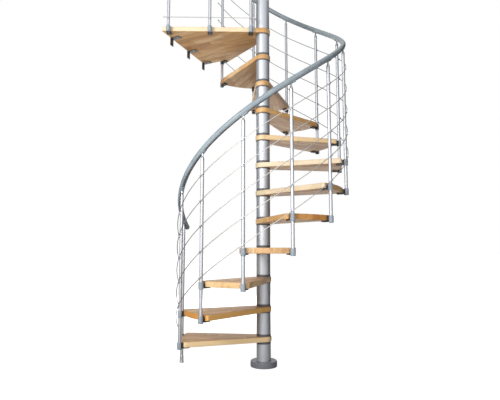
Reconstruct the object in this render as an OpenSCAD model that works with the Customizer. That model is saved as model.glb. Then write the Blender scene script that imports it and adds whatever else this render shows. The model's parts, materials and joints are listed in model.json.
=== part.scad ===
// Spiral staircase: beech treads threaded on a steel column, tubular balusters clamped to the treads,
// a helical handrail and five helical wires. The column stands on the origin with its axis along Z,
// the stair climbs counter-clockwise, and the landing leads out towards -X.

/* [Storey] */
// Height from the lower floor to the top of the landing
floor_height = 2800; // [2400:10:3200]
// Number of equal rises, the last of which is the landing
rise_count = 12; // [10:1:13]
// Angle that each rise turns, seen from above
step_angle = 28.5; // [26:0.5:30]
// Direction of the ground baluster from the column
first_angle = 194.6; // [180:0.1:220]

/* [Column] */
// Outer diameter of the sleeves, rings and cap
column_d = 114; // [90:1:140]
// Wall of a sleeve
sleeve_wall = 3; // [2:0.5:5]
// Outer diameter of the pole that all the pieces are threaded on
pole_d = 60; // [40:1:70]
// Wall of the pole
pole_wall = 4; // [3:0.5:8]
// Height of the dark spacer ring on each tread
ring_h = 19; // [12:1:30]
// Length of the spigots that centre the sleeves
spigot_h = 12; // [6:1:25]
// Height of the column's cap above its top sleeve
cap_h = 22; // [12:1:40]

/* [Base] */
// Width of the base cover's rim around the column
base_rim = 49; // [42:1:80]
// Height of the base cover
base_h = 43; // [30:1:60]
// Wall of the base cover
cover_wall = 4; // [2:0.5:6]
// Rounding of the base cover's top edge
cover_round = 7; // [2:0.5:12]
// Gap between the cover's wall and the steel plate under it
plate_gap = 6; // [1:0.5:8]
// Thickness of the steel plate
plate_t = 8; // [5:1:12]
// Distance of the floor bolts from the plate's edge
bolt_inset = 18; // [12:1:24]
// Number of floor bolts
bolt_count = 4; // [3:1:8]
// Diameter of the floor bolt holes
bolt_hole_d = 12; // [8:0.5:14]

/* [Treads] */
// Thickness of the wood
tread_t = 40; // [25:1:50]
// Radius of the treads' outer edge
tread_r = 650; // [500:5:800]
// Wood left around the column
boss_margin = 6; // [4:1:15]
// How far the outer edge runs past a baluster before the corner's rounding
corner_past = 17.7; // [14:0.1:30]
// Rounding of the tread's corners
corner_r = 20; // [8:1:30]

/* [Landing] */
// Angle from the landing's front baluster round to the exit direction
exit_turn = 31.9; // [28:0.1:40]
// How far the exit edge lies beyond the treads' outer edge
landing_past = 105; // [60:5:250]
// Distance along the arc from the front baluster to the landing's short far edge
landing_notch = 23.9; // [22:0.1:40]
// Angle of the balustrade edge to the exit direction
landing_skew = 24.8; // [20:0.1:30]
// Rounding of the landing's two outer corners
landing_corner_r = 4; // [2:1:25]
// Distance of the outermost landing baluster from the corner
post_inset = 61; // [35:1:90]
// Distance of the innermost landing baluster from the column, along the edge
post_near = 103.8; // [100:0.1:200]
// Number of landing balusters
post_count = 3; // [2:1:5]
// Number of floor brackets
bracket_count = 3; // [2:1:4]
// Distance of the first floor bracket from the balustrade's corner
bracket_near = 153; // [60:1:250]
// Distance of the last floor bracket from the far corner
bracket_far = 30; // [26:1:200]
// Width of a floor bracket
bracket_w = 42; // [30:1:60]
// Length of a floor bracket's arm under the wood
bracket_arm = 90; // [50:1:120]
// Drop of a floor bracket's tab below the wood
bracket_drop = 66; // [60:1:120]
// Thickness of a floor bracket
bracket_t = 6; // [4:0.5:10]
// Spacing of the two bolt holes in a tab
tab_hole_spacing = 36; // [25:1:45]
// Diameter of the bolt holes in a tab
tab_hole_d = 9; // [6:0.5:12]

/* [Balusters] */
// Gap between a clamp collar and the edge of the wood
collar_gap = 10; // [6:1:20]
// Outer diameter of a baluster tube
tube_d = 25; // [20:1:32]
// Wall of a baluster tube
tube_wall = 1.5; // [1:0.1:3]
// Wall of a clamp collar
collar_wall = 5.5; // [3:0.5:8]
// How far a collar reaches below the wood
collar_below = 17; // [8:1:30]
// Distance of a collar's top below the tread's top
collar_drop = 5; // [0:1:10]
// Thickness of the closed end of a foot collar
collar_floor = 5; // [3:0.5:10]
// Easing of a collar's ends
collar_ease = 4; // [1:0.5:5]
// Width of the black bracket between a collar and the wood
saddle_w = 26; // [16:1:30]
// Length of that bracket's leg under the wood
saddle_leg = 46; // [30:1:70]
// Width of that leg
saddle_leg_w = 40; // [20:1:60]
// Thickness of that leg
saddle_t = 9; // [4:1:14]
// Wall of the floor foot of the first baluster
foot_wall = 5; // [3:0.5:8]
// Height of the floor foot
foot_h = 58; // [40:1:90]

/* [Handrail] */
// Diameter of the handrail
rail_d = 42; // [34:1:50]
// Height of the handrail's centre line above the treads
rail_h = 933; // [850:1:1000]
// Length of the helical handrail past its end balusters
rail_overhang = 83; // [60:1:120]
// Length of the landing handrail past its end balusters
landing_rail_overhang = 42; // [30:1:60]
// Distance from the top of a baluster tube up to the handrail's underside
stem_h = 56; // [44:1:75]
// Length of the saddle under the handrail
cradle_l = 50; // [30:1:60]
// Thickness of that saddle
cradle_t = 4; // [3:0.5:6]
// Height of the rounded plug on a baluster's top
plug_h = 31; // [20:1:42]
// Diameter of the stem between plug and saddle
stem_d = 11; // [8:1:16]
// Length of the domed end caps
end_l = 18; // [10:1:30]

/* [Wires] */
// Number of wires
wire_count = 5; // [3:1:6]
// Diameter of a wire
wire_d = 6; // [4:0.5:8]
// Height of the lowest wire above the treads, at the balusters
wire_first = 18; // [10:1:40]
// Height of the lowest wire above the landing
landing_wire_first = 60; // [40:1:80]
// Distance of the highest wire below the handrail's centre line, at the balusters
wire_last = 195; // [150:1:300]
// Length of the wires past their end balusters
wire_overhang = 42; // [20:1:60]
// Gap between the tubes and the wires
wire_gap = 2.5; // [2:0.5:6]
// Width of the clips that hold the wires
clip_w = 8; // [7:0.5:14]
// Wall of a clip above and below its wire
clip_wall = 1.4; // [1:0.1:4]
// Depth of a clip outside its wire
clip_lip = 2; // [1.5:0.5:6]

/* [Hidden] */
// Clearance of round pieces that slide or seat on each other
fit = 0.3;
// Clearance of curved pieces beside the handrail and the wires
sweep_fit = 0.5;
// How far a round outline stands proud of the straight edges that run into it, so that they cross cleanly
blend = 0.1;
// Rings between two balusters, and sides, of the swept handrail and wires
rings_per_bay = 6;
rail_sides = 16;
wire_sides = 8;
$fn = 64;

rise = floor_height / rise_count;
tread_count = rise_count - 1;
boss_r = column_d / 2 + boss_margin;
bore_r = pole_d / 2 + fit;
sleeve_inner_r = column_d / 2 - sleeve_wall;
base_d = column_d + 2 * base_rim;
plate_d = base_d - 2 * (cover_wall + plate_gap);
bolt_circle_d = plate_d - 2 * bolt_inset;
collar_d = tube_d + 2 * collar_wall;
collar_h = tread_t - collar_drop + collar_below;
edge_gap = collar_d / 2 + collar_gap;
baluster_r = tread_r + edge_gap;
rail_r = rail_d / 2;
rail_gap = rail_r + stem_h;
column_top = floor_height + rail_h + rail_r - cap_h;

// Corner rounding of a tread: the centre of the arc that meets the side edge and the outer edge
corner_side = boss_r - corner_r;
corner_reach = sqrt(pow(tread_r - corner_r, 2) - pow(corner_side, 2));
corner_angle = step_angle / 2 + degrees_of(corner_past, tread_r);
side_angle = corner_angle - atan(corner_side / corner_reach);

// Landing: its exit direction, the distances of its exit and far edges from the column's axis,
// and the direction and length of its balustrade edge with the line of the balusters along it
exit_angle = baluster_angle(tread_count) + exit_turn;
landing_reach = tread_r + landing_past;
landing_far = tread_r * sin(exit_turn - degrees_of(landing_notch, tread_r));
edge_angle = exit_angle + landing_skew;
edge_length = (landing_reach + boss_r * sin(landing_skew)) / cos(landing_skew);
landing_near = boss_r * cos(landing_skew) + edge_length * sin(landing_skew);
post_line = boss_r + edge_gap;
post_spacing = (edge_length - post_inset - post_near) / (post_count - 1);
bracket_spacing = (landing_near - bracket_near + landing_far - bracket_far) / (bracket_count - 1);

// Wires: their distance from the baluster axes and their spacing
wire_offset = tube_d / 2 + wire_gap + wire_d / 2;
wire_r = baluster_r + wire_offset;
wire_spacing = (rail_h - wire_last - wire_first) / (wire_count - 1);

// Slope of the handrail and the wires, and the height of the clips that the wires slant through
arc_per_step = PI * step_angle / 180;
rail_slope = atan(rise / (baluster_r * arc_per_step));
wire_slope = atan(rise / (wire_r * arc_per_step));
clip_h = clip_w * tan(wire_slope) + (wire_d + 2 * sweep_fit) / cos(wire_slope) + 2 * clip_wall;

function two_digits(n) = n < 10 ? str("0", n) : str(n);
function tread_name(n) = str("tread_", two_digits(n));
function baluster_name(k) = str("baluster_", two_digits(k));
function wire_name(i) = str("rail_wire_", i);

function tread_top(n) = n * rise;
function tread_angle(n) = first_angle + (n - 0.5) * step_angle;
function baluster_angle(k) = first_angle + k * step_angle;
function rail_centre_z(k) = tread_top(k + 1) + rail_h;
function tube_top(k) = rail_centre_z(k) - rail_gap;
function tube_bottom(k) = k == 0 ? collar_floor : tread_top(k) - collar_drop - collar_h + collar_floor;
function wire_height(i) = wire_first + (i - 1) * wire_spacing;
function landing_wire_height(i) = landing_wire_first + (i - 1) * wire_spacing;
function post_place(i) = edge_length - post_inset - (i - 1) * post_spacing;
function bracket_place(i) = bracket_near - landing_near + (i - 1) * bracket_spacing;
function degrees_of(length, radius) = length / radius * 180 / PI;

// Angles of the rings of a helix that starts and ends a given angle past its end balusters
function ring_angles(past) = concat(
    [first_angle - past],
    [for (j = [0 : tread_count * rings_per_bay]) first_angle + j * step_angle / rings_per_bay],
    [baluster_angle(tread_count) + past]);

// One point of a ring around a helix: its place on the ring counts from outwards towards the top
function ring_point(radius, slope, height, size, angle, turn) =
    let (climb = (angle - first_angle) / step_angle * rise)
    let (out = radius + size * cos(turn))
    let (lean = size * sin(turn) * sin(slope))
    [out * cos(angle) + lean * sin(angle),
     out * sin(angle) - lean * cos(angle),
     height + climb + size * sin(turn) * cos(slope)];

// Places for pieces that repeat

// A frame at baluster k: X points outwards, Z stays up, and the baluster's axis is at X = 0
module at_baluster(k) {
    rotate([0, 0, baluster_angle(k)])
        translate([baluster_r, 0, 0])
            children();
}

// The same frame at landing baluster i
module at_post(i) {
    rotate([0, 0, edge_angle + 90])
        translate([post_line, -post_place(i), 0])
            children();
}

// Both clamped corners of every tread, the landing's front corner and the landing balusters.
// $closed tells whether the baluster ends there.
module at_every_clamp() {
    for (n = [1 : rise_count])
        at_baluster(n - 1)
            translate([0, 0, tread_top(n)]) {
                $closed = false;
                children();
            }
    for (n = [1 : tread_count])
        at_baluster(n)
            translate([0, 0, tread_top(n)]) {
                $closed = true;
                children();
            }
    for (i = [1 : post_count])
        at_post(i)
            translate([0, 0, floor_height]) {
                $closed = true;
                children();
            }
}

module tube(outer_d, inner_d, length) {
    difference() {
        cylinder(d = outer_d, h = length);
        translate([0, 0, -1])
            cylinder(d = inner_d, h = length + 2);
    }
}

// A tube swept along the helix that passes a given height above the treads
module helix_sweep(radius, slope, height, size, sides, past) {
    angles = ring_angles(past);
    last = len(angles) - 1;
    points = [for (a = angles) for (s = [0 : sides - 1])
        ring_point(radius, slope, rise + height, size, a, s * 360 / sides)];
    start_cap = [for (s = [0 : sides - 1]) s];
    end_cap = [for (s = [sides - 1 : -1 : 0]) last * sides + s];
    walls = [for (r = [0 : last - 1]) for (s = [0 : sides - 1])
        let (t = (s + 1) % sides)
        [r * sides + t, r * sides + s, (r + 1) * sides + s, (r + 1) * sides + t]];
    polyhedron(points, concat([start_cap, end_cap], walls), convexity = 8);
}

// Column

module base_plate() {
    hub_r = sleeve_inner_r - fit;
    color("dimgray")
        difference() {
            union() {
                cylinder(d = plate_d, h = plate_t);
                cylinder(r = hub_r, h = plate_t + 2 * spigot_h);
            }
            translate([0, 0, plate_t])
                cylinder(r = bore_r, h = 3 * spigot_h);
            for (b = [0 : bolt_count - 1])
                rotate([0, 0, (b + 0.5) * 360 / bolt_count])
                    translate([bolt_circle_d / 2, 0, -1])
                        cylinder(d = bolt_hole_d, h = plate_t + 2);
        }
}

module base_cover() {
    outer = base_d / 2;
    inner = column_d / 2 + fit;
    color("slategray")
        rotate_extrude()
            difference() {
                union() {
                    translate([inner, 0])
                        square([outer - cover_round - inner, base_h]);
                    translate([inner, 0])
                        square([outer - inner, base_h - cover_round]);
                    translate([outer - cover_round, base_h - cover_round])
                        circle(r = cover_round);
                }
                translate([inner - 1, -1])
                    square([outer - cover_wall - inner + 1, base_h - cover_wall + 1]);
            }
}

module centre_pole() {
    color("gray")
        translate([0, 0, plate_t])
            tube(pole_d, pole_d - 2 * pole_wall, column_top - plate_t);
}

module sleeve(bottom, top) {
    translate([0, 0, bottom])
        tube(column_d, 2 * sleeve_inner_r, top - bottom);
}

module column_sleeves() {
    color("silver") {
        sleeve(plate_t, tread_top(1) - tread_t - ring_h);
        for (n = [2 : rise_count])
            sleeve(tread_top(n - 1) + ring_h, tread_top(n) - tread_t);
        sleeve(floor_height, column_top);
    }
}

// A ring with the spigot that centres the sleeve above it
module spacer_ring() {
    difference() {
        union() {
            cylinder(d = column_d, h = ring_h);
            cylinder(r = sleeve_inner_r - fit, h = ring_h + spigot_h);
        }
        translate([0, 0, -1])
            cylinder(r = bore_r, h = ring_h + spigot_h + 2);
    }
}

module spacer_rings() {
    color("dimgray") {
        translate([0, 0, tread_top(1) - tread_t])
            mirror([0, 0, 1])
                spacer_ring();
        for (n = [1 : tread_count])
            translate([0, 0, tread_top(n)])
                spacer_ring();
    }
}

module column_cap() {
    cap_round = cap_h / 2;
    color("slategray")
        translate([0, 0, column_top]) {
            rotate_extrude() {
                square([column_d / 2, cap_h - cap_round]);
                square([column_d / 2 - cap_round, cap_h]);
                translate([column_d / 2 - cap_round, cap_h - cap_round])
                    circle(r = cap_round);
            }
            translate([0, 0, -spigot_h])
                tube(2 * (sleeve_inner_r - fit), pole_d + 2 * fit, spigot_h);
        }
}

// Treads and landing

// Centre of a tread's corner rounding, on the side that counts up from the middle line or down from it
function corner_centre(side) = [
    corner_reach * cos(side_angle) - corner_side * sin(side_angle),
    side * (corner_reach * sin(side_angle) + corner_side * cos(side_angle))];
function side_normal(side) = [-sin(side_angle), side * cos(side_angle)];
function side_end(side) = corner_centre(side) + corner_r * side_normal(side);

// A tread's outline: side edges tangent to the boss, an outer arc and two rounded corners
module tread_outline() {
    rim = tread_r / cos(corner_angle);
    circle(r = boss_r + blend);
    intersection() {
        circle(r = tread_r);
        polygon([
            [0, 0],
            [rim * cos(corner_angle), -rim * sin(corner_angle)],
            [rim, 0],
            [rim * cos(corner_angle), rim * sin(corner_angle)]]);
    }
    polygon([
        boss_r * side_normal(-1),
        side_end(-1),
        corner_centre(-1),
        corner_centre(1),
        side_end(1),
        boss_r * side_normal(1)]);
    for (side = [-1, 1])
        translate(corner_centre(side))
            circle(r = corner_r + blend);
}

module tread(n) {
    color("burlywood")
        translate([0, 0, tread_top(n) - tread_t])
            difference() {
                rotate([0, 0, tread_angle(n)])
                    linear_extrude(tread_t)
                        tread_outline();
                translate([0, 0, -1])
                    cylinder(r = bore_r, h = tread_t + 2);
            }
}

// The platform behind the landing's front part, with its exit towards -X and its two outer corners rounded
module platform_outline() {
    edge = [-cos(landing_skew), -sin(landing_skew)];
    edge_normal = [sin(landing_skew), -cos(landing_skew)];
    near_corner = boss_r * edge_normal + edge_length * edge;
    near_turn = landing_corner_r * tan((90 + landing_skew) / 2);
    near_centre = near_corner + [landing_corner_r, near_turn];
    far_centre = [-landing_reach + landing_corner_r, landing_far - landing_corner_r];
    far_start = sqrt(pow(tread_r, 2) - pow(landing_far, 2));
    polygon([
        [0, 0],
        [2 * corner_r - far_start, landing_far],
        far_centre + [0, landing_corner_r],
        far_centre,
        far_centre - [landing_corner_r, 0],
        near_centre - [landing_corner_r, 0],
        near_centre,
        near_corner - near_turn * edge,
        boss_r * edge_normal]);
    for (centre = [near_centre, far_centre])
        translate(centre)
            circle(r = landing_corner_r + blend);
}

module landing() {
    color("burlywood")
        translate([0, 0, floor_height - tread_t])
            difference() {
                linear_extrude(tread_t) {
                    rotate([0, 0, tread_angle(rise_count)])
                        tread_outline();
                    rotate([0, 0, exit_angle - 180])
                        platform_outline();
                }
                translate([0, 0, -1])
                    cylinder(r = bore_r, h = tread_t + 2);
            }
}

// An angle whose tab lies flush with the exit edge and bolts to the edge of the upper floor
module floor_bracket() {
    hole_middle = -bracket_t - (bracket_drop - bracket_t) / 2;
    difference() {
        union() {
            translate([0, -bracket_w / 2, -bracket_t])
                cube([bracket_arm, bracket_w, bracket_t]);
            translate([0, -bracket_w / 2, -bracket_drop])
                cube([bracket_t, bracket_w, bracket_drop]);
        }
        for (side = [-1, 1])
            translate([-1, 0, hole_middle + side * tab_hole_spacing / 2])
                rotate([0, 90, 0])
                    cylinder(d = tab_hole_d, h = bracket_t + 2);
    }
}

module landing_brackets() {
    color("dimgray")
        for (i = [1 : bracket_count])
            rotate([0, 0, exit_angle - 180])
                translate([-landing_reach, bracket_place(i), floor_height - tread_t])
                    floor_bracket();
}

// Balusters and their clamps

module baluster(k) {
    color("silver")
        at_baluster(k)
            translate([0, 0, tube_bottom(k)])
                tube(tube_d, tube_d - 2 * tube_wall, tube_top(k) - tube_bottom(k));
}

module landing_balusters() {
    bottom = floor_height - collar_drop - collar_h + collar_floor;
    color("silver")
        for (i = [1 : post_count])
            at_post(i)
                translate([0, 0, bottom])
                    tube(tube_d, tube_d - 2 * tube_wall, floor_height + rail_h - rail_gap - bottom);
}

// A round collar with eased ends, closed below where a baluster ends in it
module collar(outer_d, height, closed) {
    bore = tube_d / 2 + fit;
    outer = outer_d / 2;
    ease = collar_ease;
    difference() {
        rotate_extrude()
            polygon([
                [0, 0],
                [outer - ease, 0],
                [outer - 0.3 * ease, 0.3 * ease],
                [outer, ease],
                [outer, height - ease],
                [outer - 0.3 * ease, height - 0.3 * ease],
                [outer - ease, height],
                [0, height]]);
        translate([0, 0, closed ? collar_floor : -1])
            cylinder(r = bore, h = height + 2);
    }
}

// Half of a clamp's collar: side 1 is the outer half, and side -1 the half that faces the wood
module collar_half(side) {
    bottom = -collar_drop - collar_h;
    intersection() {
        translate([0, 0, bottom])
            collar(collar_d, collar_h, $closed);
        translate([side > 0 ? 0 : -collar_d, -collar_d, bottom - 1])
            cube([collar_d, 2 * collar_d, collar_h + 2]);
    }
}

module baluster_foot() {
    color("lightslategray")
        at_baluster(0)
            collar(tube_d + 2 * foot_wall, foot_h, true);
}

module tread_clamps() {
    color("lightslategray")
        at_every_clamp()
            collar_half(1);
}

// An angle that hooks under the edge of the wood and carries the inner half of the collar
module edge_bracket() {
    bottom = -tread_t - saddle_t;
    ring_middle = (tube_d + collar_d) / 4;
    collar_half(-1);
    translate([-edge_gap, -saddle_w / 2, bottom])
        cube([edge_gap - ring_middle, saddle_w, tread_t + saddle_t - 2 * collar_drop]);
    translate([-edge_gap - saddle_leg, -saddle_leg_w / 2, bottom])
        cube([saddle_leg + 1, saddle_leg_w, saddle_t]);
}

module edge_brackets() {
    color([0.2, 0.2, 0.2])
        at_every_clamp()
            edge_bracket();
}

// Handrail

// The plug in a baluster's top, its stem, and the cradle that follows the handrail's slope.
// The origin is on the handrail's centre line.
module rail_support(slope) {
    plug_r = tube_d / 2 - tube_wall - fit;
    shoulder_h = plug_h / 3;
    nose_h = plug_h - shoulder_h;
    flank_r = (pow(tube_d / 2, 2) + pow(nose_h, 2)) / tube_d;
    cradle_r = rail_r + sweep_fit;
    translate([0, 0, -rail_gap - 2 * spigot_h])
        cylinder(r = plug_r, h = 2 * spigot_h + shoulder_h);
    translate([0, 0, -rail_gap])
        cylinder(d = tube_d, h = shoulder_h);
    translate([0, 0, shoulder_h - rail_gap])
        rotate_extrude()
            intersection() {
                translate([tube_d / 2 - flank_r, 0])
                    circle(r = flank_r);
                square([tube_d / 2, nose_h]);
            }
    difference() {
        union() {
            translate([0, 0, -rail_gap])
                cylinder(d = stem_d, h = rail_gap - rail_r / 2);
            rotate([slope - 90, 0, 0])
                intersection() {
                    cylinder(r = cradle_r + cradle_t, h = cradle_l, center = true);
                    translate([-tube_d / 2, rail_r / 2, -cradle_l / 2])
                        cube([tube_d, rail_d, cradle_l]);
                }
        }
        rotate([slope - 90, 0, 0])
            cylinder(r = cradle_r, h = 2 * rail_gap, center = true);
    }
}

module rail_supports() {
    color("slategray") {
        for (k = [0 : tread_count])
            at_baluster(k)
                translate([0, 0, rail_centre_z(k)])
                    rail_support(rail_slope);
        for (i = [1 : post_count])
            at_post(i)
                translate([0, 0, floor_height + rail_h])
                    rail_support(0);
    }
}

module handrail() {
    color("lightslategray")
        helix_sweep(baluster_r, rail_slope, rail_h, rail_r, rail_sides, degrees_of(rail_overhang, baluster_r));
}

// A frame on the landing handrail's centre line, with Z along it, at a given place from the column
module along_landing_rail(place) {
    rotate([0, 0, edge_angle + 90])
        translate([post_line, -place, floor_height + rail_h])
            rotate([90, 0, 0])
                children();
}

module landing_handrail() {
    start = post_place(post_count) - landing_rail_overhang;
    length = post_place(1) - post_place(post_count) + 2 * landing_rail_overhang;
    color("lightslategray")
        along_landing_rail(start)
            cylinder(r = rail_r, h = length);
}

module rail_end() {
    rotate_extrude()
        intersection() {
            square([rail_r, end_l]);
            translate([0, end_l - rail_r])
                circle(r = rail_r);
        }
}

module rail_ends() {
    past = degrees_of(rail_overhang, baluster_r);
    climb = past / step_angle * rise;
    color("slategray") {
        rotate([0, 0, first_angle - past])
            translate([baluster_r, 0, rail_centre_z(0) - climb])
                rotate([90 + rail_slope, 0, 0])
                    rail_end();
        rotate([0, 0, baluster_angle(tread_count) + past])
            translate([baluster_r, 0, rail_centre_z(tread_count) + climb])
                rotate([rail_slope - 90, 0, 0])
                    rail_end();
        along_landing_rail(post_place(1) + landing_rail_overhang)
            rail_end();
        along_landing_rail(post_place(post_count) - landing_rail_overhang)
            rotate([180, 0, 0])
                rail_end();
    }
}

// Wires

module rail_wire(i) {
    color("gainsboro")
        helix_sweep(wire_r, wire_slope, wire_height(i), wire_d / 2, wire_sides,
                    degrees_of(wire_overhang, wire_r));
}

module landing_wires() {
    start = post_place(post_count) - wire_overhang;
    length = post_place(1) - post_place(post_count) + 2 * wire_overhang;
    color("gainsboro")
        for (i = [1 : wire_count])
            rotate([0, 0, edge_angle + 90])
                translate([post_line + wire_offset, -start, floor_height + landing_wire_height(i)])
                    rotate([90, 0, 0])
                        cylinder(d = wire_d, h = length);
}

// A clip that seats on the outer side of a tube and lets the wire through
module wire_clip(slope) {
    reach = wire_offset + wire_d / 2 + clip_lip;
    difference() {
        intersection() {
            cylinder(r = reach, h = clip_h, center = true);
            translate([0, -clip_w / 2, -clip_h / 2])
                cube([reach, clip_w, clip_h]);
        }
        cylinder(r = tube_d / 2 + fit, h = 2 * clip_h, center = true);
        translate([wire_offset, 0, 0])
            rotate([slope - 90, 0, 0])
                cylinder(r = wire_d / 2 + sweep_fit, h = 3 * clip_w, center = true);
    }
}

module wire_clips() {
    color("slategray")
        for (i = [1 : wire_count]) {
            for (k = [0 : tread_count])
                at_baluster(k)
                    translate([0, 0, tread_top(k + 1) + wire_height(i)])
                        wire_clip(wire_slope);
            for (p = [1 : post_count])
                at_post(p)
                    translate([0, 0, floor_height + landing_wire_height(i)])
                        wire_clip(0);
        }
}

base_plate();
base_cover();
centre_pole();
column_sleeves();
spacer_rings();
column_cap();
for (n = [1 : tread_count])
    tread(n);
landing();
landing_brackets();
for (k = [0 : tread_count])
    baluster(k);
landing_balusters();
baluster_foot();
tread_clamps();
edge_brackets();
rail_supports();
handrail();
landing_handrail();
rail_ends();
for (i = [1 : wire_count])
    rail_wire(i);
landing_wires();
wire_clips();
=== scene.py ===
import json
import math

import bmesh
import bpy
from mathutils import Matrix, Vector


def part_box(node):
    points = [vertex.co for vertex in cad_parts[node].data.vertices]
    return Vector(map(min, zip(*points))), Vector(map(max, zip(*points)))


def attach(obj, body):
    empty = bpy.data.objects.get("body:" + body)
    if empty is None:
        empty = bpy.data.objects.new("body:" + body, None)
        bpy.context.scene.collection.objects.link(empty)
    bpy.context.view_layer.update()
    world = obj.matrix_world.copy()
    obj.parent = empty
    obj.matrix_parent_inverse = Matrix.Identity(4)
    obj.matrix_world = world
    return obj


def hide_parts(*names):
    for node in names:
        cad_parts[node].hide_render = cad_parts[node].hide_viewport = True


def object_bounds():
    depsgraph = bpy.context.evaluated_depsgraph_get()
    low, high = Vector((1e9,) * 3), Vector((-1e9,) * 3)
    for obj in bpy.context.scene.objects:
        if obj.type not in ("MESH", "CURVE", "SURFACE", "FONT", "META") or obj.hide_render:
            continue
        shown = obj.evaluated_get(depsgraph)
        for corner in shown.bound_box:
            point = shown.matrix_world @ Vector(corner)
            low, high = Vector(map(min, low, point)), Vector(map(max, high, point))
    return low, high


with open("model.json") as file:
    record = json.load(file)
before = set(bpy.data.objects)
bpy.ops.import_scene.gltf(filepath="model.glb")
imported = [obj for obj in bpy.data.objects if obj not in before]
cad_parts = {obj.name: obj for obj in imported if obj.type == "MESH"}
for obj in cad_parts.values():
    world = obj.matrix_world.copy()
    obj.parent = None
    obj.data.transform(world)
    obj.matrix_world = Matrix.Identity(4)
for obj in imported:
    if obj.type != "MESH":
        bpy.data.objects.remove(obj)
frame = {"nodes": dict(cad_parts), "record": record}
cad_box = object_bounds()

# Sizes that the frame doesn't state by itself, in metres

STEPS_PER_BAY = 14
RAIL_OVERHANG = 0.083
RAIL_SIDES = 32
STRIP_HALF = math.radians(26)
STRIP_STEPS = 6
STRIP_DEPTH = 0.002
STRIP_PROUD = 0.0005
PLUG_FOOT = 0.077
CRADLE_OUT = 0.0045
WIRE_COUNT = 5
WIRE_RADIUS = 0.003
WIRE_SIDES = 12
WIRE_OUT = 0.018
WIRE_FIRST = 0.018
WIRE_SPACING = 0.180
WIRE_OVERHANG = 0.042
EDGE_GAP = 0.028
LEG_LENGTH = 0.046
LEG_BOTTOM = 0.049
ARM_COUNT = 3
ARM_MIDDLE = 0.021
ARM_THICKNESS = 0.006
BORE = 0.05
UPRIGHT_TILT, FLAT_TILT = 0.1, 0.9
WOOD_EASE = 0.003
EASE_STEPS = 4
# The dark ring beneath each board's hub, which is painted shade
SHADE_RING_HEIGHT = 0.010
SHADE_RING_PROUD = 0.0012
SHADE_RING_SUNK = 0.001
LIP_ANGLE = math.radians(28)
LIP_STEPS = 4

# Two screws in every cradle, by their places from its middle, and in every leg and arm, by shares
# of its length
CRADLE_SCREWS = (-0.019, 0.019)
LEG_SCREWS = (0.25, 0.75)
ARM_SCREWS = (0.45, 0.85)

# Radius and height of the screws' heads
CRADLE_HEAD = (0.004, 0.0022)
LEG_HEAD = (0.0048, 0.0026)
ARM_HEAD = (0.0055, 0.003)

# Outlines of turned pieces, as (radius, height)
PLUG = [(0, -0.0005), (0.0128, -0.0005), (0.0128, 0.0105), (0.0124, 0.0150), (0.0112, 0.0205),
        (0.0092, 0.0260), (0.0066, 0.0310), (0.0060, 0.0360), (0.0060, 0.0510), (0, 0.0510)]
FERRULE = [(0, -0.002), (0.0042, -0.002), (0.0052, -0.001), (0.0052, 0.014), (0.0040, 0.0165),
           (0, 0.0165)]
FOOT = [(0, 0), (0.0170, 0), (0.0174, 0.001), (0.0174, 0.005), (0.0156, 0.010), (0.0148, 0.024),
        (0.0148, 0.050), (0.0140, 0.056), (0.0128, 0.058), (0, 0.058)]
COLLAR_LIP = [(0.0135, -0.0048), (0.0143, -0.0048), (0.0171, -0.0060), (0.0183, -0.0090),
              (0.0183, -0.0530), (0.0171, -0.0560), (0.0143, -0.0572), (0.0135, -0.0572)]


# Places read from the frame

def numbered(start):
    """The frame's nodes whose names are this start and a number."""
    return sorted(node for node in frame["nodes"] if node.startswith(start) and node[-1].isdigit())


def middle(node):
    low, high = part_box(node)
    return (low + high) / 2


def extent(node):
    low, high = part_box(node)
    return high - low


def angle_of(point):
    return math.atan2(point.y, point.x)


TREADS = numbered("tread_")
BALUSTERS = numbered("baluster_")
BAYS = len(BALUSTERS) - 1
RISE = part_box(TREADS[1])[1].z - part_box(TREADS[0])[1].z
LANDING_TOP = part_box("landing")[1].z
SLEEVE_RADIUS = extent("column_sleeves").x / 2
TUBE_RADIUS = extent(BALUSTERS[0]).x / 2
RAIL_RADIUS = extent("landing_handrail").z / 2
RAIL_HEIGHT = middle("landing_handrail").z - LANDING_TOP
FIRST_POST = middle(BALUSTERS[0])
POST_RADIUS = math.hypot(FIRST_POST.x, FIRST_POST.y)
WIRE_REACH = POST_RADIUS + WIRE_OUT
FIRST_ANGLE = angle_of(FIRST_POST)
STEP_ANGLE = angle_of(middle(BALUSTERS[1])) - FIRST_ANGLE
UPSIDE_DOWN = Matrix.Rotation(math.pi, 4, "X")


def baluster_angle(number):
    return FIRST_ANGLE + number * STEP_ANGLE


def at_baluster(number, height):
    """A place on a stair baluster's axis: X points out from the column and Z up."""
    return (Matrix.Rotation(baluster_angle(number), 4, "Z")
            @ Matrix.Translation((POST_RADIUS, 0, height)))


def landing_posts(height):
    """Places on the landing balusters' axes, outermost first: X points away from the landing."""
    low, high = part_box("landing_balusters")
    reach = Vector((TUBE_RADIUS, TUBE_RADIUS, 0))
    outermost, innermost = low + reach, high - reach
    line = innermost - outermost
    out = math.atan2(-line.x, line.y)
    places = []
    for share in (0.0, 0.5, 1.0):
        spot = outermost.lerp(innermost, share)
        places.append(Matrix.Translation((spot.x, spot.y, height)) @ Matrix.Rotation(out, 4, "Z"))
    return places


def clamp_places():
    """Every clamped corner: its place on the baluster's axis, level with the top of the wood."""
    steps = len(TREADS)
    fronts = [at_baluster(number - 1, number * RISE) for number in range(1, steps + 2)]
    rears = [at_baluster(number, number * RISE) for number in range(1, steps + 1)]
    return fronts + rears + landing_posts(LANDING_TOP)


def helix_slope(radius):
    return math.atan(RISE / (radius * STEP_ANGLE))


def helix_place(radius, height, angle):
    """A place on the helix that runs at a given height above the treads: Z points up along it."""
    climb = (angle - FIRST_ANGLE) / STEP_ANGLE * RISE
    return (Matrix.Translation((0, 0, RISE + height + climb)) @ Matrix.Rotation(angle, 4, "Z")
            @ Matrix.Translation((radius, 0, 0))
            @ Matrix.Rotation(helix_slope(radius) - math.pi / 2, 4, "X"))


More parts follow.
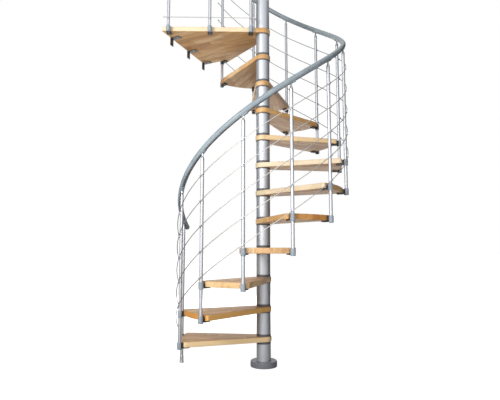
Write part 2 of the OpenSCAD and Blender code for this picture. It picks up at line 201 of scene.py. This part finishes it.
def rail_places():
    """Every baluster's axis at the height of the handrail's centre line, with the rail's slope."""
    slope = helix_slope(POST_RADIUS)
    stair = [(at_baluster(number, (number + 1) * RISE + RAIL_HEIGHT), slope)
             for number in range(BAYS + 1)]
    return stair + [(place, 0.0) for place in landing_posts(LANDING_TOP + RAIL_HEIGHT)]


# Nodes of the materials and of the backdrop

class Nodes:
    """A node tree, with the few calls that the finishes and the studio need."""

    def __init__(self, tree):
        self.tree = tree

    def add(self, kind, values=None, **settings):
        made = self.tree.nodes.new("ShaderNode" + kind)
        for key, value in settings.items():
            setattr(made, key, value)
        for socket, value in (values or {}).items():
            self.give(made.inputs[socket], value)
        return made

    def give(self, socket, value):
        """Sets a socket to a plain value, or links it to another socket."""
        if isinstance(value, bpy.types.NodeSocket):
            self.tree.links.new(value, socket)
        else:
            socket.default_value = value

    def math(self, operation, a, b=0.0):
        return self.add("Math", {0: a, 1: b}, operation=operation).outputs[0]

    def vector(self, operation, a, b=(0, 0, 0)):
        return self.add("VectorMath", {0: a, 1: b}, operation=operation).outputs[0]

    def measure(self, operation, a, b=(0, 0, 0)):
        return self.add("VectorMath", {0: a, 1: b}, operation=operation).outputs["Value"]

    def span(self, value, low, high, start=0.0, end=1.0):
        """Goes from low to high while the value goes from start to end."""
        values = {"Value": value, "From Min": start, "From Max": end, "To Min": low, "To Max": high}
        return self.add("MapRange", values).outputs[0]

    def seen_directly(self):
        """1 for what the camera sees straight or by a mirror or glass, else 0."""
        path = self.add("LightPath").outputs
        mirrored = self.math("MAXIMUM", path["Is Camera Ray"], path["Is Glossy Ray"])
        return self.math("MAXIMUM", mirrored, path["Is Transmission Ray"])


class Finish(Nodes):
    """A material's nodes, which end in its shader."""

    def __init__(self, name):
        self.material = bpy.data.materials.new(name)
        self.material.use_nodes = True
        super().__init__(self.material.node_tree)
        self.shader = self.tree.nodes["Principled BSDF"]

    def place(self, turn=0.0):
        coords = self.add("TexCoord").outputs["Object"]
        return self.add("Mapping", {"Vector": coords, "Rotation": (0, 0, turn)}).outputs[0]

    def outwards(self, turn=0.0):
        normal = self.add("TexCoord").outputs["Normal"]
        return self.add("Mapping", {"Vector": normal, "Rotation": (0, 0, turn)}).outputs[0]

    def level(self, vector):
        """The vector without its height."""
        return self.vector("MULTIPLY", vector, (1, 1, 0))

    def noise(self, vector, scale, detail=2.0, roughness=0.5):
        values = {"Vector": vector, "Scale": scale, "Detail": detail, "Roughness": roughness}
        return self.add("TexNoise", values).outputs[0]

    def grain(self, vector, scales, detail=2.0, roughness=0.5):
        """Noise with its own scale along each axis."""
        stretched = self.add("Mapping", {"Vector": vector, "Scale": scales}).outputs[0]
        return self.noise(stretched, 1.0, detail, roughness)

    def blend(self, share, first, second, how="MIX"):
        made = self.add("Mix", data_type="RGBA", blend_type=how)
        self.give(made.inputs[0], share)
        self.give(made.inputs[6], first)
        self.give(made.inputs[7], second)
        return made.outputs[2]

    def ramp(self, value, stops):
        made = self.add("ValToRGB", {0: value})
        stripe = made.color_ramp
        while len(stripe.elements) < len(stops):
            stripe.elements.new(0.5)
        for element, (spot, tint) in zip(stripe.elements, stops):
            element.position = spot
            element.color = tint
        return made.outputs[0]

    def bump(self, height, strength, distance=0.0002):
        values = {"Height": height, "Strength": strength, "Distance": distance}
        self.give(self.shader.inputs["Normal"], self.add("Bump", values).outputs[0])

    def set(self, **values):
        for key, value in values.items():
            self.give(self.shader.inputs[key.replace("_", " ")], value)


def colour(red, green, blue):
    return (red, green, blue, 1.0)


def shade(tint, share):
    return colour(*(min(1.0, share * part) for part in tint))


WHITE = (1.0, 1.0, 1.0)

# Wood

STAVE_WIDTH = 0.062
STAVE_LENGTH = 0.27
SHORTEST, LONGEST = 0.7 * STAVE_LENGTH, 1.4 * STAVE_LENGTH
JOINT_WIDTH = 0.0006
RING_WIDTH = 0.0042
RING_SWAY = 0.02
PITH_SPREAD = (0.0, 0.16, 0.22)
LOG_SPREAD = (9.0, 5.0, 7.0)
HUB_RADIUS, HUB_END = 0.07, 0.11

# How far the staves move on from board to board and from row to row
ROW_SHIFT = 0.37
ROW_KEYS = 17.3
END_SHIFT = 7.7

# Tones
BEECH_TONES = [
    (0.00, colour(0.94, 0.685, 0.385)),
    (0.35, colour(0.87, 0.565, 0.27)),
    (0.70, colour(0.76, 0.445, 0.18)),
    (1.00, colour(0.56, 0.285, 0.105))]
RING_TONE = colour(0.50, 0.27, 0.105)
CLOUD_TONE = colour(0.45, 0.205, 0.075)
STREAK_TONE = colour(0.38, 0.19, 0.075)
FLECK_TONE = colour(0.30, 0.15, 0.06)
JOINT_TONE = colour(0.20, 0.10, 0.04)
END_GRAIN_AND_SHADE = colour(0.80, 0.62, 0.42)
# Colours painted on the boards' sides as painted light and shade, chosen board by board for how
# brightly the edges are lit
PAINTED_LIGHT_PALE = colour(0.96, 0.82, 0.58)
PAINTED_LIGHT_GOLDEN = colour(0.97, 0.72, 0.40)
PAINTED_LIGHT_AMBER = colour(0.92, 0.52, 0.16)
# The share of colour the boards' tops keep: painted shade that makes the tops darker than the sides
TOP_SHADE = 0.88

# What beech() is told about a board, and what is different on single boards. The side tone and its
# share paint light and shade on each board's sides, and the undersides' share is painted shade
PLAIN_BOARD = {"side": PAINTED_LIGHT_PALE, "share": 0.08, "hub": 1.0, "end": 0.0, "under": 1.0, "gloss": 0.5}
BOARD_LOOKS = {
    "tread_01": {"side": PAINTED_LIGHT_GOLDEN, "share": 1.0},
    "tread_02": {"side": PAINTED_LIGHT_AMBER, "share": 0.9, "end": 0.9},
    "tread_03": {"side": PAINTED_LIGHT_GOLDEN, "share": 0.3},
    "tread_05": {"side": PAINTED_LIGHT_AMBER, "share": 0.5, "end": 1.0},
    "tread_06": {"share": 0.8, "end": 1.0},
    "tread_07": {"share": 0.85},
    "tread_08": {"side": PAINTED_LIGHT_GOLDEN, "share": 0.8, "gloss": 0.8},
    "tread_09": {"side": PAINTED_LIGHT_AMBER, "share": 0.5, "gloss": 0.6},
    "tread_10": {"share": 0.9, "hub": 0.0, "gloss": 0.8},
    "tread_11": {"under": 0.78, "gloss": 0.22},
    "landing": {"share": 0.8, "hub": 0.0, "gloss": 0.22}}


def beech(name, turn, seed, side, share, hub, end, under, gloss):
    """Lacquered beech glued up from staves along the direction turn.

    side is a tone painted on a share of the wood's sides as painted light and shade, and hub how
    much of it is left round the column. end says how far the end grain is darkened, which on the
    boards where it is set also paints shade on their ends; under how much of its colour the
    underside keeps, which is painted shade, and gloss how strongly the lacquer mirrors.
    """
    wood = Finish(name)
    board = wood.place(-turn)
    along, across, _ = wood.add("SeparateXYZ", {0: board}).outputs
    rows = wood.math("ADD", wood.math("DIVIDE", across, STAVE_WIDTH), ROW_SHIFT * seed)
    row_key = wood.math("ADD", wood.math("FLOOR", rows), ROW_KEYS * seed)
    row_random = wood.add("TexWhiteNoise", {"W": row_key}, noise_dimensions="1D").outputs[0]
    length = wood.span(row_random, SHORTEST, LONGEST)
    row_start = wood.math("MULTIPLY", row_random, END_SHIFT)
    lengths = wood.math("ADD", wood.math("DIVIDE", along, length), row_start)
    key = wood.add("CombineXYZ", {0: row_key, 1: wood.math("FLOOR", lengths)}).outputs[0]
    random = wood.add("TexWhiteNoise", {"Vector": key}, noise_dimensions="2D")
    tone, own = random.outputs[0], random.outputs[1]

    # Each stave is cut from its own place in a log, so its growth rings have their own centre
    centred = wood.vector("SUBTRACT", own, (0.5, 0.5, 0.5))
    pith = wood.vector("MULTIPLY", centred, PITH_SPREAD)
    inside = wood.vector("ADD", board, wood.vector("MULTIPLY", own, LOG_SPREAD))
    from_pith = wood.vector("MULTIPLY", wood.vector("SUBTRACT", board, pith), (0, 1, 1))
    sway = wood.math("MULTIPLY", wood.grain(inside, (2.2, 9, 9)), RING_SWAY)
    swayed = wood.math("ADD", wood.measure("LENGTH", from_pith), sway)
    rings = wood.math("SINE", wood.math("MULTIPLY", swayed, 2 * math.pi / RING_WIDTH))

    streaks = wood.grain(inside, (4, 190, 190), detail=4.0, roughness=0.6)
    cloud = wood.grain(inside, (3, 20, 20))
    flecks = wood.grain(inside, (150, 900, 900), detail=1.0)
    body = wood.ramp(tone, BEECH_TONES)
    ringed = wood.blend(wood.span(rings, 0.0, 0.24, start=-1.0), body, RING_TONE)
    warmed = wood.blend(wood.span(cloud, 0.0, 0.70, start=0.46, end=0.66), ringed, CLOUD_TONE)
    streaked = wood.blend(wood.span(streaks, 0.0, 0.5, start=0.42, end=0.78), warmed, STREAK_TONE)
    flecked = wood.blend(wood.span(flecks, 0.0, 0.5, start=0.62, end=0.72), streaked, FLECK_TONE)

    def edge(turns, size):
        part = wood.math("FRACT", turns)
        near = wood.math("MINIMUM", part, wood.math("SUBTRACT", 1.0, part))
        return wood.math("LESS_THAN", wood.math("MULTIPLY", near, size), JOINT_WIDTH)

    joint = wood.math("MAXIMUM", edge(rows, STAVE_WIDTH), edge(lengths, length))
    jointed = wood.blend(wood.math("MULTIPLY", joint, 0.5), flecked, JOINT_TONE)

    # The side tone is painted light and shade on the sides only; the tops are darkened as painted
    # shade, and the undersides keep each board's own share of their colour as painted shade
    lengthwise, _, facing = wood.add("SeparateXYZ", {0: wood.outwards(-turn)}).outputs
    from_column = wood.measure("LENGTH", wood.level(board))
    from_hub = wood.span(from_column, hub, 1.0, start=HUB_RADIUS, end=HUB_END)
    upright = wood.span(wood.math("ABSOLUTE", facing), share, 0.0)
    toned = wood.blend(wood.math("MULTIPLY", from_hub, upright), jointed, side)
    top = wood.span(facing, 0.0, 1.0, start=0.3, end=0.9)
    bottom = wood.span(facing, 1.0, 0.0, start=-0.9, end=-0.3)
    top_shaded = wood.blend(top, toned, shade(WHITE, TOP_SHADE), "MULTIPLY")
    # Painted shade: the undersides keep only the board's given share of their colour
    underside_shaded = wood.blend(bottom, top_shaded, shade(WHITE, under), "MULTIPLY")
    # The end grain is darkened by the board's share: partly the wood's own darker end grain, partly
    # painted shade on the ends of the boards where it is set
    end_grain_and_shade = wood.span(wood.math("ABSOLUTE", lengthwise), 0.0, end, start=0.55, end=0.85)
    base = wood.blend(end_grain_and_shade, underside_shaded, END_GRAIN_AND_SHADE, "MULTIPLY")
    wood.set(Base_Color=base, Roughness=wood.span(streaks, 0.40, 0.54), Specular_IOR_Level=gloss)
    height = wood.math("SUBTRACT", wood.math("MULTIPLY", streaks, 0.5), joint)
    wood.bump(height, strength=0.25, distance=0.0004)
    return wood.material


# Metal and plastic

def silver_paint(name, paint, metallic, roughness, grain):
    """Metallic paint: fine bright flakes and a brushed cloudiness over a faint orange-peel skin."""
    coat = Finish(name)
    place = coat.place()
    flakes = coat.noise(place, scale=700, detail=1.0)
    cloud = coat.noise(place, scale=9)
    brushed = coat.span(coat.grain(place, (420, 420, 40), detail=3.0), 0.0, 1.0, start=0.3, end=0.7)
    toned = coat.blend(brushed, shade(paint, 1.0 - grain), shade(paint, 1.0 + grain))
    bright = coat.span(flakes, 0.0, 0.5, start=0.45, end=0.7)
    coat.set(Base_Color=coat.blend(bright, toned, shade(paint, 1.0 + 2 * grain)))
    coat.set(Roughness=coat.span(cloud, roughness - 0.04, roughness + 0.06))
    coat.set(Metallic=metallic, Specular_IOR_Level=0.35)
    coat.bump(coat.noise(place, scale=260, detail=1.0), strength=0.03)
    return coat.material


def wire_with_painted_shade(name, tint, inside, roughness):
    """Drawn wire whose side that faces the column is darkened as painted shade, while its outer
    side keeps the wire's tint.
    """
    wire = Finish(name)
    place = wire.place()
    from_column = wire.vector("NORMALIZE", wire.level(place))
    facing = wire.measure("DOT_PRODUCT", from_column, wire.outwards())
    lines = wire.grain(place, (500, 500, 120))
    # The dark colour for the side that faces the column is painted shade
    lit_and_shaded_tones = [wire.blend(lines, shade(part, 0.94), shade(part, 1.04)) for part in (inside, tint)]
    outer = wire.span(facing, 0.0, 1.0, start=-0.5, end=0.5)
    wire.set(Base_Color=wire.blend(outer, *lit_and_shaded_tones), Metallic=0.85, Specular_IOR_Level=0.35)
    wire.set(Roughness=wire.span(lines, roughness - 0.03, roughness + 0.05))
    wire.bump(lines, strength=0.04)
    return wire.material


def moulded(name, tint, roughness, gloss=0.4):
    """Satin plastic or paint with a fine grain and faint handling marks."""
    plastic = Finish(name)
    place = plastic.place()
    cloud = plastic.noise(place, scale=14, detail=3.0)
    worn = plastic.span(cloud, 0.0, 1.0, start=0.3, end=0.7)
    plastic.set(Base_Color=plastic.blend(worn, shade(tint, 0.86), shade(tint, 1.1)))
    plastic.set(Roughness=plastic.span(cloud, roughness - 0.05, roughness + 0.07))
    plastic.set(Specular_IOR_Level=gloss)
    plastic.bump(plastic.noise(place, scale=800, detail=1.0), strength=0.04)
    return plastic.material


def drawn_steel(name, tint, roughness):
    """Bare drawn steel with fine lines along its length and dull patches."""
    steel = Finish(name)
    place = steel.place()
    lines = steel.grain(place, (900, 900, 30), detail=3.0)
    dull = steel.noise(place, scale=30)
    steel.set(Base_Color=steel.blend(lines, shade(tint, 0.85), shade(tint, 1.0)), Metallic=1.0)
    steel.set(Roughness=steel.span(dull, roughness - 0.06, roughness + 0.1))
    steel.bump(lines, strength=0.08)
    return steel.material


FINISHES = {
    "column_paint": silver_paint("column_paint", (0.535, 0.558, 0.592), 0.6, 0.46, 0.06),
    "baluster_steel": silver_paint("baluster_silver", (0.54, 0.555, 0.59), 0.6, 0.42, 0.03),
    "pole_steel": drawn_steel("pole_steel", (0.45, 0.45, 0.46), 0.4),
    "base_plastic": moulded("base_plastic", (0.20, 0.215, 0.24), 0.42),
    "ring_plastic": moulded("ring_plastic", (0.13, 0.135, 0.145), 0.45),
    "rail_plastic": moulded("rail_plastic", (0.30, 0.355, 0.39), 0.38),
    "clamp_grey": moulded("clamp_grey", (0.33, 0.375, 0.425), 0.38),
    "clamp_black": moulded("clamp_black", (0.03, 0.03, 0.033), 0.5),
    "bracket_black": moulded("bracket_black", (0.06, 0.058, 0.055), 0.26, 1.0),
    # The wire's second, dark tint is painted shade on the side that faces the column
    "wire_steel": wire_with_painted_shade("wire_silver", (0.58, 0.565, 0.535), (0.20, 0.20, 0.205), 0.50),
    "plug_chrome": drawn_steel("plug_chrome", (0.55, 0.56, 0.58), 0.22),
}


# Pieces

def put(name, data):
    """A new object of the scene, at the origin."""
    thing = bpy.data.objects.new(name, data)
    bpy.context.scene.collection.objects.link(thing)
    return thing


def mesh_from(shape, name, material):
    mesh = bpy.data.meshes.new(name)
    shape.to_mesh(mesh)
    shape.free()
    mesh.materials.append(material)
    return mesh


def finish_piece(shape, name, material, stands_for=(), sharp=30):
    """Turns a bmesh into a piece of the stair that rides on the frame."""
    mesh = mesh_from(shape, name, material)
    mesh.shade_smooth()
    mesh.set_sharp_from_angle(angle=math.radians(sharp))
    piece = put(name, mesh)
    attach(piece, "root")
    if stands_for:
        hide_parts(*stands_for)


def frame_finishes():
    for part in frame["record"]["subparts"]:
        if part["material_slot"] in FINISHES:
            node = frame["nodes"][part["node"]]
            for spot in node.material_slots:
                spot.material = FINISHES[part["material_slot"]]


def merged_copy(node):
    """The node's own shape as one connected mesh with flat faces joined."""
    shape = bmesh.new()
    shape.from_mesh(frame["nodes"][node].data)
    bmesh.ops.remove_doubles(shape, verts=shape.verts, dist=1e-6)
    bmesh.ops.dissolve_limit(shape, angle_limit=math.radians(0.5), verts=shape.verts,
                             edges=shape.edges)
    return shape


def board_rims(shape):
    """Edges between a board's flat faces and its sides, apart from those of the hole in its hub."""
    rims = []
    for edge in shape.edges:
        tilts = sorted(abs(face.normal.z) for face in edge.link_faces)
        spot = (edge.verts[0].co + edge.verts[1].co) / 2
        at_rim = len(tilts) == 2 and tilts[0] < UPRIGHT_TILT and tilts[1] > FLAT_TILT
        if at_rim and math.hypot(spot.x, spot.y) > BORE:
            rims.append(edge)
    return rims


def wooden_board(node, turn, seed):
    shape = merged_copy(node)
    bmesh.ops.bevel(shape, geom=board_rims(shape), offset=WOOD_EASE, offset_type="OFFSET",
                    segments=EASE_STEPS, profile=0.5, affect="EDGES", material=-1,
                    clamp_overlap=True)
    look = {**PLAIN_BOARD, **BOARD_LOOKS.get(node, {})}
    finish_piece(shape, node + "_wood", beech(node + "_beech", turn, seed, **look), [node])


def boards():
    for number, node in enumerate(TREADS, 1):
        wooden_board(node, baluster_angle(number - 0.5), number)
    wooden_board("landing", 0.0, len(TREADS) + 1)


def sweep(shape, radius, height, overhang):
    """Draws a section, which lies at the origin, along the helix from end to end."""
    past = overhang / radius
    turn = BAYS * STEP_ANGLE + 2 * past
    climb = turn / STEP_ANGLE * RISE
    steps = BAYS * STEPS_PER_BAY
    start = helix_place(radius, height, FIRST_ANGLE - past)
    bmesh.ops.transform(shape, matrix=start, verts=shape.verts)
    section = shape.verts[:] + shape.edges[:] + shape.faces[:]
    bmesh.ops.spin(shape, geom=section, cent=(0, 0, 0), axis=(0, 0, 1), dvec=(0, 0, climb / steps),
                   angle=turn, steps=steps, use_merge=False)


def helix_tube(radius, tube, sides, height, overhang):
    """A round bar bent along the helix at a given height above the treads."""
    shape = bmesh.new()
    bmesh.ops.create_circle(shape, cap_ends=False, radius=tube, segments=sides)
    sweep(shape, radius, height, overhang)
    open_ends = [edge for edge in shape.edges if edge.is_boundary]
    bmesh.ops.holes_fill(shape, edges=open_ends, sides=sides)
    bmesh.ops.recalc_face_normals(shape, faces=shape.faces)
    return shape


def rail_strip():
    """The dark strip let into the handrail's underside; its dark colour is partly the strip's own
    and partly painted shade along the rail's underside.
    """
    shape = bmesh.new()
    reach = (RAIL_RADIUS - STRIP_DEPTH, RAIL_RADIUS + STRIP_PROUD)
    wall = [shape.verts.new((0, radius, 0)) for radius in reach]
    side = shape.edges.new(wall)
    bmesh.ops.rotate(shape, verts=wall, cent=(0, 0, 0), matrix=Matrix.Rotation(-STRIP_HALF, 3, "Z"))
    bmesh.ops.spin(shape, geom=wall + [side], cent=(0, 0, 0), axis=(0, 0, 1), angle=2 * STRIP_HALF,
                   steps=STRIP_STEPS)
    sweep(shape, POST_RADIUS, RAIL_HEIGHT, RAIL_OVERHANG)
    bmesh.ops.recalc_face_normals(shape, faces=shape.faces)
    return shape


def handrail_and_wires():
    finish_piece(rail_strip(), "handrail_strip", FINISHES["ring_plastic"], sharp=50)
    rail = helix_tube(POST_RADIUS, RAIL_RADIUS, RAIL_SIDES, RAIL_HEIGHT, RAIL_OVERHANG)
    finish_piece(rail, "handrail_grip", FINISHES["rail_plastic"], ["handrail"],
                 sharp=50)
    for number in range(1, WIRE_COUNT + 1):
        height = WIRE_FIRST + (number - 1) * WIRE_SPACING
        wire = helix_tube(WIRE_REACH, WIRE_RADIUS, WIRE_SIDES, height, WIRE_OVERHANG)
        finish_piece(wire, f"wire_{number}", FINISHES["wire_steel"],
                     [f"rail_wire_{number}"], sharp=50)


def turned(shape, profile, place, steps):
    """Adds a body turned about the place's Z axis from (radius, height) points.

    The points start and end on the axis, or the last one closes the outline of a ring.
    """
    corners = [shape.verts.new(place @ Vector((radius, 0, height))) for radius, height in profile]
    sides = [shape.edges.new(pair) for pair in zip(corners, corners[1:])]
    axis = place.to_3x3() @ Vector((0, 0, 1))
    bmesh.ops.spin(shape, geom=corners + sides, cent=place.translation, axis=axis,
                   angle=2 * math.pi, steps=steps, use_merge=True)


def turned_pieces(name, profile, places, finish, steps=12, stands_for=()):
    """The same turned body at every place, as one piece."""
    shape = bmesh.new()
    for place in places:
        turned(shape, profile, place, steps)
    bmesh.ops.remove_doubles(shape, verts=shape.verts, dist=1e-5)
    bmesh.ops.recalc_face_normals(shape, faces=shape.faces)
    finish_piece(shape, name, FINISHES[finish], stands_for)


def screw(radius, height):
    """Points of a rounded screw head with a round recess; its seat is at height 0."""
    return [(0, -0.001), (radius, -0.001), (radius, 0.4 * height), (0.75 * radius, height),
            (0.42 * radius, height), (0.36 * radius, 0.3 * height), (0, 0.3 * height)]


def collar_lips():
    """The grey outer halves of the collars lap round the black inner halves on both sides."""
    shape = bmesh.new()
    for place in clamp_places():
        for side in (1, -1):
            corners = [shape.verts.new(place @ Vector((0, side * radius, height)))
                       for radius, height in COLLAR_LIP]
            end = shape.faces.new(corners)
            bmesh.ops.spin(shape, geom=corners + list(end.edges) + [end], cent=place.translation,
                           axis=(0, 0, 1), angle=side * LIP_ANGLE, steps=LIP_STEPS)
    bmesh.ops.recalc_face_normals(shape, faces=shape.faces)
    finish_piece(shape, "collar_lips", FINISHES["clamp_grey"])


def floor_foot():
    turned_pieces("floor_foot", FOOT, [at_baluster(0, 0.0)], "baluster_steel",
                  steps=24, stands_for=["baluster_foot"])


def hub_shade_rings():
    """A dark ring just beneath every board's hub, round the sleeve that carries it: painted shade
    where the hub's shadow falls on the sleeve.
    """
    inner, outer = SLEEVE_RADIUS - SHADE_RING_SUNK, SLEEVE_RADIUS + SHADE_RING_PROUD
    ring = [(inner, -SHADE_RING_HEIGHT), (outer, -SHADE_RING_HEIGHT), (outer, 0), (inner, 0),
            (inner, -SHADE_RING_HEIGHT)]
    seats = [Matrix.Translation((0, 0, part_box(node)[0].z)) for node in TREADS + ["landing"]]
    turned_pieces("hub_shade_rings", ring, seats, "ring_plastic", steps=64)


def rail_plugs():
    places = [place @ Matrix.Translation((0, 0, -PLUG_FOOT)) for place, slope in rail_places()]
    turned_pieces("rail_plugs", PLUG, places, "plug_chrome", steps=16)


def cradle_screws():
    places = []
    for place, slope in rail_places():
        for along in CRADLE_SCREWS:
            seat = Matrix.Translation((0, along, -RAIL_RADIUS - CRADLE_OUT))
            places.append(place @ Matrix.Rotation(slope, 4, "X") @ seat @ UPSIDE_DOWN)
    turned_pieces("cradle_screws", screw(*CRADLE_HEAD), places, "ring_plastic")


def leg_screws():
    places = []
    for place in clamp_places():
        for share in LEG_SCREWS:
            seat = Matrix.Translation((-EDGE_GAP - share * LEG_LENGTH, 0, -LEG_BOTTOM))
            places.append(place @ seat @ UPSIDE_DOWN)
    turned_pieces("leg_screws", screw(*LEG_HEAD), places, "pole_steel")


def arm_screws():
    places = []
    low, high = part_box("landing_brackets")
    size = high - low
    for bracket in range(ARM_COUNT):
        across = low.y + ARM_MIDDLE + bracket * (size.y / 2 - ARM_MIDDLE)
        for share in ARM_SCREWS:
            seat = Matrix.Translation((low.x + share * size.x, across, high.z - ARM_THICKNESS))
            places.append(seat @ UPSIDE_DOWN)
    turned_pieces("arm_screws", screw(*ARM_HEAD), places, "ring_plastic")


def wire_ferrules():
    """A sleeve crimped on both ends of every wire."""
    ends = []
    past = WIRE_OVERHANG / WIRE_REACH
    for number in range(WIRE_COUNT):
        height = WIRE_FIRST + number * WIRE_SPACING
        ends.append(helix_place(WIRE_REACH, height, FIRST_ANGLE - past))
        ends.append(helix_place(WIRE_REACH, height, baluster_angle(BAYS) + past) @ UPSIDE_DOWN)

    size, centre = extent("landing_wires"), middle("landing_wires")
    posts = [place.translation for place in landing_posts(0)]
    along = (posts[-1] - posts[0]).normalized()
    half = (size.x / 2 - WIRE_RADIUS * along.y) / along.x
    spacing = (size.z - 2 * WIRE_RADIUS) / (WIRE_COUNT - 1)
    for number in range(WIRE_COUNT):
        height = (number - (WIRE_COUNT - 1) / 2) * spacing
        for way in (along, -along):
            spot = centre + Vector((0, 0, height)) - half * way
            turn = way.to_track_quat("Z", "Y").to_matrix().to_4x4()
            ends.append(Matrix.Translation(spot) @ turn)
    turned_pieces("wire_ferrules", FERRULE, ends, "baluster_steel")


def small_parts():
    collar_lips()
    floor_foot()
    hub_shade_rings()
    rail_plugs()
    cradle_screws()
    leg_screws()
    arm_screws()
    wire_ferrules()


# Studio: places by azimuth in degrees, and sizes in metres

AMBIENT = 0.15
FLOOR_FILL = 0.40
FLOOR_WIDTH = 120.0
FLOOR_GAP = 0.0005
LAMP_DISTANCE = 5.2
LAMP_TARGET = Vector((0, 0, 1.8))
FLAG_DISTANCE = 2.4
FLAG_MIDDLE = 2.2
FLAG_HEIGHT = 5.0
CLOTH_DISTANCE = 1.75
CLOTH_LIFT = 0.002
CLOTH_SIZE = (1.7, 3.4)

# Name, azimuth and width
FLAGS = [("flag_right", 38, 5.0), ("flag_left", 192, 3.6)]
# Name and azimuth
CLOTHS = [("cloth_right", 35), ("cloth_left", 200)]
# Name, azimuth, height, size, level, and whether the stair mirrors it
LAMPS = [
    ("key_lamp", 257, 3.0, (2.3, 2.6), 0.70, True),
    ("front_lamp", 293, 2.2, (2.6, 3.2), 0.24, True),
    ("back_lamp", 122, 2.6, (2.6, 3.2), 0.45, False)]

CAMERA_PLACE = Vector((1.3186, -3.3304, 0.928))
CAMERA_HEADING = math.radians(113.352)
CAMERA_PITCH = math.radians(6.365)
CAMERA_LENS = 31.257
CAMERA_SENSOR = 36.0


def around(azimuth, distance, height):
    """A spot at a given direction and distance from the column."""
    turn = math.radians(azimuth)
    return Vector((distance * math.cos(turn), distance * math.sin(turn), height))


def standing(azimuth, distance, height):
    """A place beside the stair whose Z axis points at the column and whose Y axis points up."""
    return (Matrix.Translation(around(azimuth, distance, height))
            @ Matrix.Rotation(math.radians(azimuth - 90), 4, "Z")
            @ Matrix.Rotation(math.radians(90), 4, "X"))


def lying(azimuth, distance, height):
    """A place on the floor whose X axis points away from the column."""
    return (Matrix.Translation(around(azimuth, distance, height))
            @ Matrix.Rotation(math.radians(azimuth), 4, "Z"))


def aim(thing, place, sight):
    """Puts a lamp or the camera at a place, to look along a line of sight."""
    thing.location = place
    thing.rotation_mode = "QUATERNION"
    thing.rotation_quaternion = sight.to_track_quat("-Z", "Y")


def white_world():
    """A white backdrop that lights the stair much less than it shows."""
    world = bpy.data.worlds.new("studio")
    bpy.context.scene.world = world
    world.use_nodes = True
    air = Nodes(world.node_tree)
    light = air.tree.nodes["Background"]
    air.give(light.inputs["Color"], colour(*WHITE))
    air.give(light.inputs["Strength"], AMBIENT)
    backdrop = air.add("Background", {"Color": colour(*WHITE)}).outputs[0]
    mix = air.add("MixShader", {0: air.seen_directly(), 1: light.outputs[0], 2: backdrop})
    air.give(air.tree.nodes["World Output"].inputs["Surface"], mix.outputs[0])


def floor_white():
    """Matt white that is a plain white backdrop away from the stair.

    Beside the stair it mirrors darker than the camera sees it.
    """
    white = Finish("floor_white")
    white.tree.nodes.remove(white.shader)
    distance = white.measure("LENGTH", white.place())
    straight = white.span(distance, 0.86, 1.0, start=0.8, end=2.6)
    mirrored = white.span(distance, 0.05, 1.0, start=1.2, end=4.5)
    camera_ray = white.add("LightPath").outputs["Is Camera Ray"]
    gain = white.math("MULTIPLY", camera_ray, white.math("SUBTRACT", straight, mirrored))
    glow = {"Strength": white.math("ADD", mirrored, gain)}
    # Away from the stair the floor glows as a fill light for the stair, and near it its paint is
    # darker, so it bounces less light there
    fill = {"Strength": white.span(distance, 0.0, FLOOR_FILL, start=0.8, end=3.0)}
    lights = {0: white.seen_directly(), 1: white.add("Emission", fill).outputs[0],
              2: white.add("Emission", glow).outputs[0]}
    paint = {"Color": white.span(distance, 0.45, 0.88, start=0.8, end=2.6)}
    total = white.add("AddShader", {0: white.add("BsdfDiffuse", paint).outputs[0],
                                    1: white.add("MixShader", lights).outputs[0]})
    white.give(white.tree.nodes["Material Output"].inputs["Surface"], total.outputs[0])
    return white.material


def black_cloth():
    """Black felt beside the stair, which gives the tubes their dark edges."""
    cloth = Finish("black_cloth")
    cloth.set(Base_Color=colour(0.02, 0.02, 0.02), Roughness=0.9, Specular_IOR_Level=0.1)
    return cloth.material


def staged_sheet(name, size, place, material):
    """A flat sheet of the studio, not of the stair, that faces along its place's Z axis."""
    shape = bmesh.new()
    bmesh.ops.create_grid(shape, x_segments=1, y_segments=1, size=1.0)
    bmesh.ops.scale(shape, vec=(size[0] / 2, size[1] / 2, 1), verts=shape.verts)
    bmesh.ops.transform(shape, matrix=place, verts=shape.verts)
    sheet = put(name, mesh_from(shape, name, material))
    return sheet


def soft_lamp(name, azimuth, height, size, level, mirrored):
    """A wide lamp; at level 1 a surface at the target that faces it shows its own colour."""
    lamp = bpy.data.lights.new(name, "AREA")
    lamp.shape = "ELLIPSE"
    lamp.size, lamp.size_y = size
    place = around(azimuth, LAMP_DISTANCE, height)
    sight = LAMP_TARGET - place
    lamp.energy = level * math.pi ** 2 * sight.length_squared
    holder = put(name, lamp)
    aim(holder, place, sight)
    holder.visible_camera = False
    holder.visible_glossy = mirrored


def camera():
    lens = bpy.data.cameras.new("camera")
    lens.lens = CAMERA_LENS
    lens.sensor_width = CAMERA_SENSOR
    lens.sensor_fit = "HORIZONTAL"
    holder = put("camera", lens)
    level = math.cos(CAMERA_PITCH)
    sight = Vector((level * math.cos(CAMERA_HEADING), level * math.sin(CAMERA_HEADING),
                    math.sin(CAMERA_PITCH)))
    aim(holder, CAMERA_PLACE, sight)
    bpy.context.scene.camera = holder


def studio():
    bpy.context.scene.view_settings.view_transform = "Standard"
    white_world()
    ground = Matrix.Translation((0, 0, cad_box[0].z - FLOOR_GAP))
    staged_sheet("floor", (FLOOR_WIDTH, FLOOR_WIDTH), ground, floor_white())
    felt = black_cloth()
    for name, azimuth, width in FLAGS:
        place = standing(azimuth, FLAG_DISTANCE, FLAG_MIDDLE)
        flag = staged_sheet(name, (width, FLAG_HEIGHT), place, felt)
        flag.visible_camera = False
    for name, azimuth in CLOTHS:
        cloth = staged_sheet(name, CLOTH_SIZE, lying(azimuth, CLOTH_DISTANCE, CLOTH_LIFT), felt)
        cloth.visible_camera = cloth.visible_shadow = cloth.visible_diffuse = False
    for lamp in LAMPS:
        soft_lamp(*lamp)
    camera()


frame_finishes()
boards()
handrail_and_wires()
small_parts()
studio()
